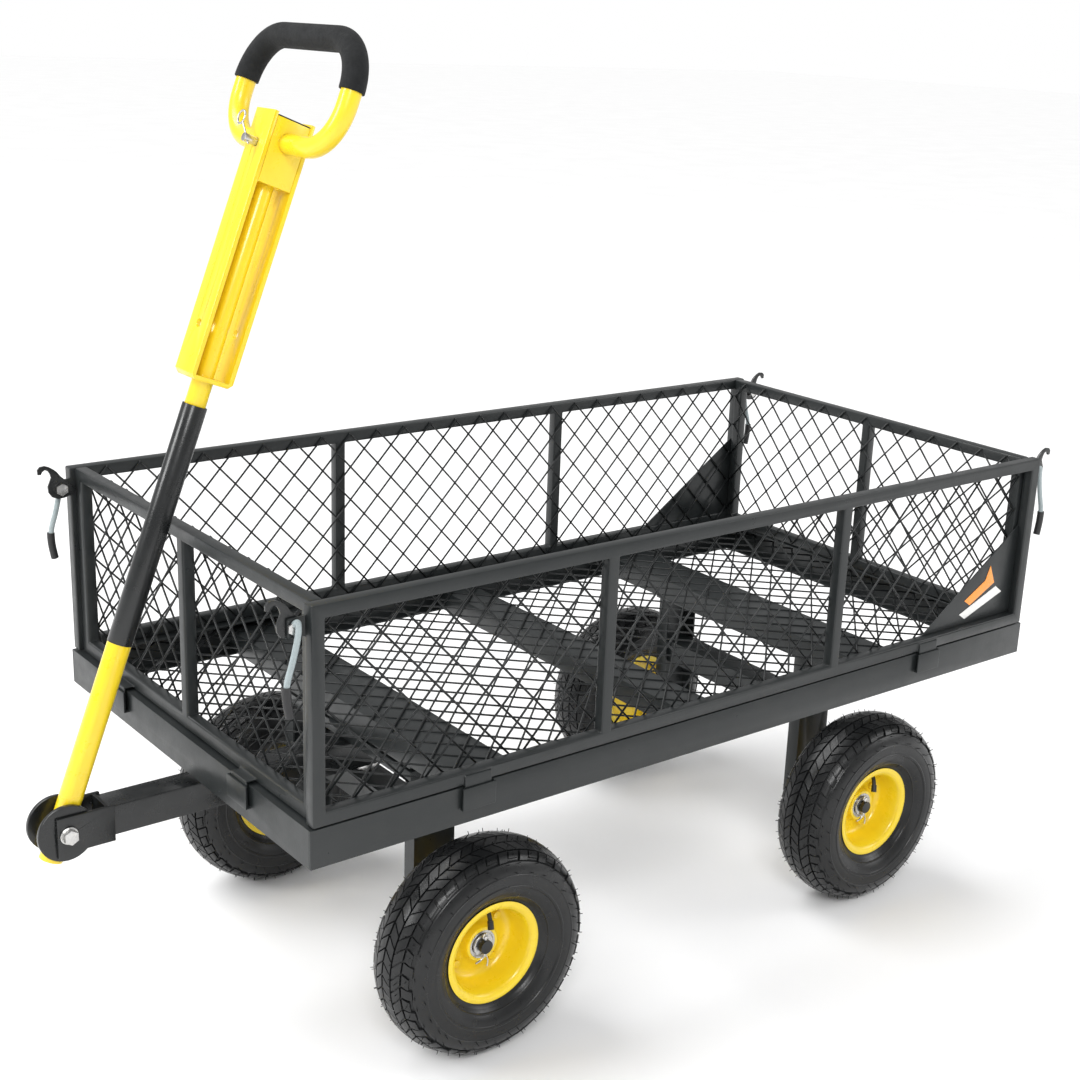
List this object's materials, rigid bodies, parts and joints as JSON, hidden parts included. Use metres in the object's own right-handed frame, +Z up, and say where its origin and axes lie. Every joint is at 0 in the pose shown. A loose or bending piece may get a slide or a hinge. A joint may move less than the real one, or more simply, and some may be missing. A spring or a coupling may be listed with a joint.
{
  "type": "garden cart",
  "caption": "Pull cart with steel bed, removable diamond mesh panels held by corner latches, pneumatic tyres on a steered axle, and a folding handle with sliding grip and tow clevis.",
  "frame": {"origin": "on the ground under the middle of the whole cart's box", "axes": "+X forward, to the tongue and handle; +Y to the cart's left; +Z up"},
  "size_m": [1.328, 0.5996, 1.1146],
  "materials": {
    "grey_steel": "satin powder coat, fine texture",
    "black_steel": "semi-gloss black",
    "yellow_steel": "gloss yellow enamel",
    "zinc_steel": "bright zinc plate",
    "tyre": "black block-tread rubber",
    "foam": "closed-cell foam, matte",
    "black_plastic": "matte"
  },
  "bodies": {
    "bed": {"left_side_rail": "grey_steel", "right_side_rail": "grey_steel", "front_rail": "grey_steel", "rear_rail": "grey_steel", "floor_mesh": "grey_steel", "front_cross_plate": "grey_steel", "middle_cross_member": "grey_steel", "rear_cross_plate": "grey_steel", "rear_axle_frame": "grey_steel", "rear_axle": "black_steel", "rear_axle_hardware": "zinc_steel"},
    "front_axle_assembly": {"kingpin": "zinc_steel", "thrust_washer": "grey_steel", "bolster": "grey_steel", "front_axle_frame": "grey_steel", "front_axle": "black_steel", "front_axle_hardware": "zinc_steel", "tongue": "grey_steel", "clevis_bracket": "black_steel", "handle_pivot_bolt": "zinc_steel"},
    "handle": {"lower_tube": "yellow_steel", "handle_sleeve": "black_plastic", "pivot_discs": "black_steel", "tow_clevis": "yellow_steel"},
    "grip": {"slide_box": "yellow_steel", "box_cap": "black_plastic", "slide_rod": "yellow_steel", "d_loop": "yellow_steel", "foam_grip": "foam"},
    "lock_pin": {"locking_pin": "zinc_steel", "pin_clip": "zinc_steel"},
    "wheel_front_left": {"tyre_front_left": "tyre", "rim_front_left": "yellow_steel", "bearings_front_left": "zinc_steel"},
    "wheel_front_right": {"tyre_front_right": "tyre", "rim_front_right": "yellow_steel", "bearings_front_right": "zinc_steel"},
    "wheel_rear_left": {"tyre_rear_left": "tyre", "rim_rear_left": "yellow_steel", "bearings_rear_left": "zinc_steel"},
    "wheel_rear_right": {"tyre_rear_right": "tyre", "rim_rear_right": "yellow_steel", "bearings_rear_right": "zinc_steel"},
    "left_panel": {"left_panel_frame": "grey_steel", "left_panel_mesh": "grey_steel", "left_gusset": "grey_steel", "left_latch_bolts": "zinc_steel"},
    "right_panel": {"right_panel_frame": "grey_steel", "right_panel_mesh": "grey_steel", "right_gusset": "grey_steel", "right_latch_bolts": "zinc_steel"},
    "front_panel": {"front_panel_frame": "grey_steel", "front_panel_mesh": "grey_steel"},
    "rear_panel": {"rear_panel_frame": "grey_steel", "rear_panel_mesh": "grey_steel"},
    "latch_front_left": {"latch_lever_front_left": "zinc_steel"},
    "latch_front_right": {"latch_lever_front_right": "zinc_steel"},
    "latch_rear_left": {"latch_lever_rear_left": "zinc_steel"},
    "latch_rear_right": {"latch_lever_rear_right": "zinc_steel"}
  },
  "joints": [
    {"name": "steering", "type": "hinge", "parent": "bed", "child": "front_axle_assembly", "pos_m": [0.249, 0, 0.3142], "axis": [0, 0, 1], "range_deg": [-17, 17]},
    {"name": "front_left_wheel_spin", "type": "hinge", "parent": "front_axle_assembly", "child": "wheel_front_left", "pos_m": [0.249, 0.244, 0.13], "axis": [0, 1, 0], "continuous": true},
    {"name": "front_right_wheel_spin", "type": "hinge", "parent": "front_axle_assembly", "child": "wheel_front_right", "pos_m": [0.249, -0.244, 0.13], "axis": [0, 1, 0], "continuous": true},
    {"name": "rear_left_wheel_spin", "type": "hinge", "parent": "bed", "child": "wheel_rear_left", "pos_m": [-0.381, 0.244, 0.13], "axis": [0, 1, 0], "continuous": true},
    {"name": "rear_right_wheel_spin", "type": "hinge", "parent": "bed", "child": "wheel_rear_right", "pos_m": [-0.381, -0.244, 0.13], "axis": [0, 1, 0], "continuous": true},
    {"name": "handle_lean", "type": "hinge", "parent": "front_axle_assembly", "child": "handle", "pos_m": [0.632, 0, 0.279], "axis": [0, 1, 0], "range_deg": [0, 110]},
    {"name": "grip_slide", "type": "slide", "parent": "handle", "child": "grip", "axis": [-0.3567, 0, 0.9342], "range_m": [-0.196, 0]},
    {"name": "lock_pin_slide", "type": "slide", "parent": "handle", "child": "lock_pin", "axis": [0.9342, 0, 0.3567], "range_m": [-0.009, 0]},
    {"name": "left_panel_lift", "type": "slide", "parent": "bed", "child": "left_panel", "axis": [0, 0, 1], "range_m": [0, 0.05]},
    {"name": "right_panel_lift", "type": "slide", "parent": "bed", "child": "right_panel", "axis": [0, 0, 1], "range_m": [0, 0.05]},
    {"name": "front_panel_lift", "type": "slide", "parent": "bed", "child": "front_panel", "axis": [0, 0, 1], "range_m": [0, 0.03]},
    {"name": "rear_panel_lift", "type": "slide", "parent": "bed", "child": "rear_panel", "axis": [0, 0, 1], "range_m": [0, 0.05]},
    {"name": "front_left_latch_turn", "type": "hinge", "parent": "left_panel", "child": "latch_front_left", "pos_m": [0.504, 0.277, 0.572], "axis": [0, -1, 0], "range_deg": [0, 60]},
    {"name": "front_right_latch_turn", "type": "hinge", "parent": "right_panel", "child": "latch_front_right", "pos_m": [0.504, -0.277, 0.572], "axis": [0, -1, 0], "range_deg": [0, 60]},
    {"name": "rear_left_latch_turn", "type": "hinge", "parent": "left_panel", "child": "latch_rear_left", "pos_m": [-0.636, 0.277, 0.572], "axis": [0, 1, 0], "range_deg": [0, 60]},
    {"name": "rear_right_latch_turn", "type": "hinge", "parent": "right_panel", "child": "latch_rear_right", "pos_m": [-0.636, -0.277, 0.572], "axis": [0, 1, 0], "range_deg": [0, 60]}
  ]
}
